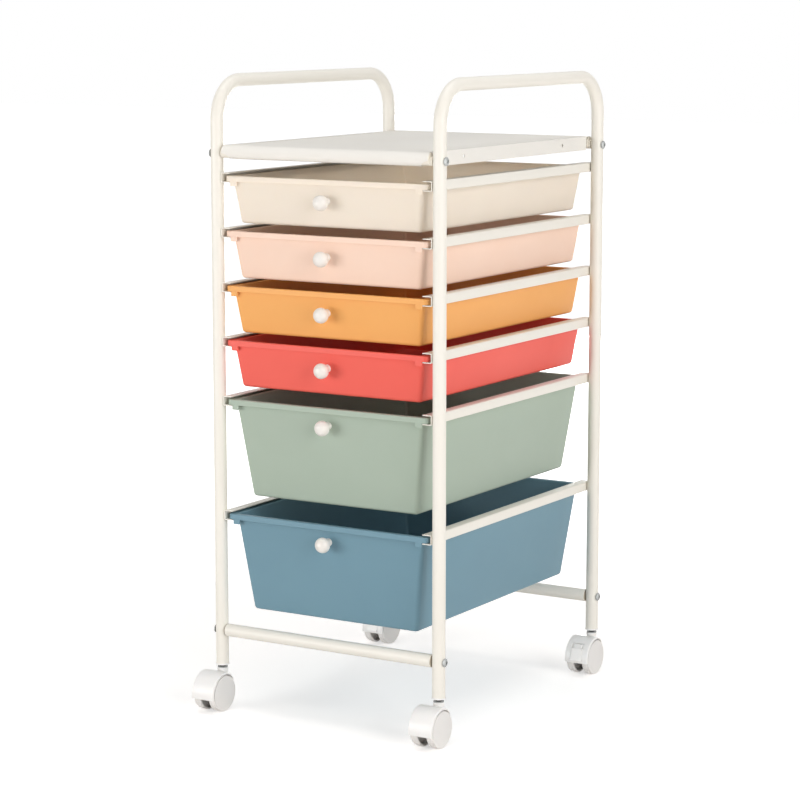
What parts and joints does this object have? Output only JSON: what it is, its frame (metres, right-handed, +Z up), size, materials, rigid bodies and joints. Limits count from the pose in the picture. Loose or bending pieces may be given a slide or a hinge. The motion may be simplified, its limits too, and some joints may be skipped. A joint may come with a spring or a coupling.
{
  "type": "rolling drawer cart",
  "caption": "Rolling cart with bent tube sides, push handles, a sheet-steel top shelf, sliding plastic drawers on channel runners and swivel twin-wheel casters.",
  "frame": {"origin": "on the floor under the middle of the whole box, which lies 18.2 mm ahead of the middle of the four posts because the casters trail to the front", "axes": "+Z up, drawers open towards -Y, +X to the right seen from the front"},
  "size_m": [0.3506, 0.4536, 0.7891],
  "materials": {
    "white_paint": "satin powder coat",
    "cream_plastic": "satin moulded",
    "peach_plastic": "satin moulded",
    "orange_plastic": "satin moulded",
    "coral_plastic": "satin moulded",
    "sage_plastic": "satin moulded",
    "blue_plastic": "satin moulded",
    "white_plastic": "moulded",
    "wheel_plastic": "moulded",
    "zinc_steel": "zinc plated",
    "dark_steel": "oiled"
  },
  "bodies": {
    "frame": {"left_side_tube": "white_paint", "right_side_tube": "white_paint", "left_runner_1": "white_paint", "left_runner_2": "white_paint", "left_runner_3": "white_paint", "left_runner_4": "white_paint", "left_runner_5": "white_paint", "left_runner_6": "white_paint", "right_runner_1": "white_paint", "right_runner_2": "white_paint", "right_runner_3": "white_paint", "right_runner_4": "white_paint", "right_runner_5": "white_paint", "right_runner_6": "white_paint", "top_shelf": "white_paint", "shelf_end_plugs": "white_plastic", "front_cross_bar": "white_paint", "rear_cross_bar": "white_paint", "cross_bar_inserts": "zinc_steel", "shelf_screws": "zinc_steel", "cross_bar_screws": "zinc_steel", "post_sockets": "white_plastic", "caster_stems": "dark_steel"},
    "drawer_1": {"drawer_1_box": "cream_plastic", "drawer_1_knob": "white_plastic", "drawer_1_knob_screw": "zinc_steel"},
    "drawer_2": {"drawer_2_box": "peach_plastic", "drawer_2_knob": "white_plastic", "drawer_2_knob_screw": "zinc_steel"},
    "drawer_3": {"drawer_3_box": "orange_plastic", "drawer_3_knob": "white_plastic", "drawer_3_knob_screw": "zinc_steel"},
    "drawer_4": {"drawer_4_box": "coral_plastic", "drawer_4_knob": "white_plastic", "drawer_4_knob_screw": "zinc_steel"},
    "drawer_5": {"drawer_5_box": "sage_plastic", "drawer_5_knob": "white_plastic", "drawer_5_knob_screw": "zinc_steel"},
    "drawer_6": {"drawer_6_box": "blue_plastic", "drawer_6_knob": "white_plastic", "drawer_6_knob_screw": "zinc_steel"},
    "front_left_caster": {"front_left_caster_hood": "white_plastic", "front_left_caster_axle": "zinc_steel"},
    "front_left_caster_left_wheel": {"front_left_caster_left_wheel": "wheel_plastic"},
    "front_left_caster_right_wheel": {"front_left_caster_right_wheel": "wheel_plastic"},
    "front_right_caster": {"front_right_caster_hood": "white_plastic", "front_right_caster_axle": "zinc_steel"},
    "front_right_caster_left_wheel": {"front_right_caster_left_wheel": "wheel_plastic"},
    "front_right_caster_right_wheel": {"front_right_caster_right_wheel": "wheel_plastic"},
    "rear_left_caster": {"rear_left_caster_hood": "white_plastic", "rear_left_caster_axle": "zinc_steel"},
    "rear_left_caster_left_wheel": {"rear_left_caster_left_wheel": "wheel_plastic"},
    "rear_left_caster_right_wheel": {"rear_left_caster_right_wheel": "wheel_plastic"},
    "rear_left_caster_brake_lever": {"rear_left_caster_brake_lever": "white_plastic"},
    "rear_right_caster": {"rear_right_caster_hood": "white_plastic", "rear_right_caster_axle": "zinc_steel"},
    "rear_right_caster_left_wheel": {"rear_right_caster_left_wheel": "wheel_plastic"},
    "rear_right_caster_right_wheel": {"rear_right_caster_right_wheel": "wheel_plastic"},
    "rear_right_caster_brake_lever": {"rear_right_caster_brake_lever": "white_plastic"}
  },
  "joints": [
    {"name": "drawer_1_slide", "type": "slide", "parent": "frame", "child": "drawer_1", "axis": [0, -1, 0], "range_m": [0, 0.3]},
    {"name": "drawer_2_slide", "type": "slide", "parent": "frame", "child": "drawer_2", "axis": [0, -1, 0], "range_m": [0, 0.3]},
    {"name": "drawer_3_slide", "type": "slide", "parent": "frame", "child": "drawer_3", "axis": [0, -1, 0], "range_m": [0, 0.3]},
    {"name": "drawer_4_slide", "type": "slide", "parent": "frame", "child": "drawer_4", "axis": [0, -1, 0], "range_m": [0, 0.3]},
    {"name": "drawer_5_slide", "type": "slide", "parent": "frame", "child": "drawer_5", "axis": [0, -1, 0], "range_m": [0, 0.3]},
    {"name": "drawer_6_slide", "type": "slide", "parent": "frame", "child": "drawer_6", "axis": [0, -1, 0], "range_m": [0, 0.3]},
    {"name": "front_left_caster_swivel", "type": "hinge", "parent": "frame", "child": "front_left_caster", "pos_m": [-0.157, -0.1818, 0.045], "axis": [0, 0, 1], "continuous": true},
    {"name": "front_left_caster_left_wheel_spin", "type": "hinge", "parent": "front_left_caster", "child": "front_left_caster_left_wheel", "pos_m": [-0.157, -0.1998, 0.023], "axis": [1, 0, 0], "continuous": true},
    {"name": "front_left_caster_right_wheel_spin", "type": "hinge", "parent": "front_left_caster", "child": "front_left_caster_right_wheel", "pos_m": [-0.157, -0.1998, 0.023], "axis": [1, 0, 0], "continuous": true},
    {"name": "front_right_caster_swivel", "type": "hinge", "parent": "frame", "child": "front_right_caster", "pos_m": [0.157, -0.1818, 0.045], "axis": [0, 0, 1], "continuous": true},
    {"name": "front_right_caster_left_wheel_spin", "type": "hinge", "parent": "front_right_caster", "child": "front_right_caster_left_wheel", "pos_m": [0.157, -0.1998, 0.023], "axis": [1, 0, 0], "continuous": true},
    {"name": "front_right_caster_right_wheel_spin", "type": "hinge", "parent": "front_right_caster", "child": "front_right_caster_right_wheel", "pos_m": [0.157, -0.1998, 0.023], "axis": [1, 0, 0], "continuous": true},
    {"name": "rear_left_caster_swivel", "type": "hinge", "parent": "frame", "child": "rear_left_caster", "pos_m": [-0.157, 0.2182, 0.045], "axis": [0, 0, 1], "continuous": true},
    {"name": "rear_left_caster_left_wheel_spin", "type": "hinge", "parent": "rear_left_caster", "child": "rear_left_caster_left_wheel", "pos_m": [-0.157, 0.2002, 0.023], "axis": [1, 0, 0], "continuous": true},
    {"name": "rear_left_caster_right_wheel_spin", "type": "hinge", "parent": "rear_left_caster", "child": "rear_left_caster_right_wheel", "pos_m": [-0.157, 0.2002, 0.023], "axis": [1, 0, 0], "continuous": true},
    {"name": "rear_left_caster_brake_lever_tip", "type": "hinge", "parent": "rear_left_caster", "child": "rear_left_caster_brake_lever", "pos_m": [-0.157, 0.18249, 0.04134], "axis": [-1, 0, 0], "range_deg": [0, 20]},
    {"name": "rear_right_caster_swivel", "type": "hinge", "parent": "frame", "child": "rear_right_caster", "pos_m": [0.157, 0.2182, 0.045], "axis": [0, 0, 1], "continuous": true},
    {"name": "rear_right_caster_left_wheel_spin", "type": "hinge", "parent": "rear_right_caster", "child": "rear_right_caster_left_wheel", "pos_m": [0.157, 0.2002, 0.023], "axis": [1, 0, 0], "continuous": true},
    {"name": "rear_right_caster_right_wheel_spin", "type": "hinge", "parent": "rear_right_caster", "child": "rear_right_caster_right_wheel", "pos_m": [0.157, 0.2002, 0.023], "axis": [1, 0, 0], "continuous": true},
    {"name": "rear_right_caster_brake_lever_tip", "type": "hinge", "parent": "rear_right_caster", "child": "rear_right_caster_brake_lever", "pos_m": [0.157, 0.18249, 0.04134], "axis": [-1, 0, 0], "range_deg": [0, 20]}
  ]
}
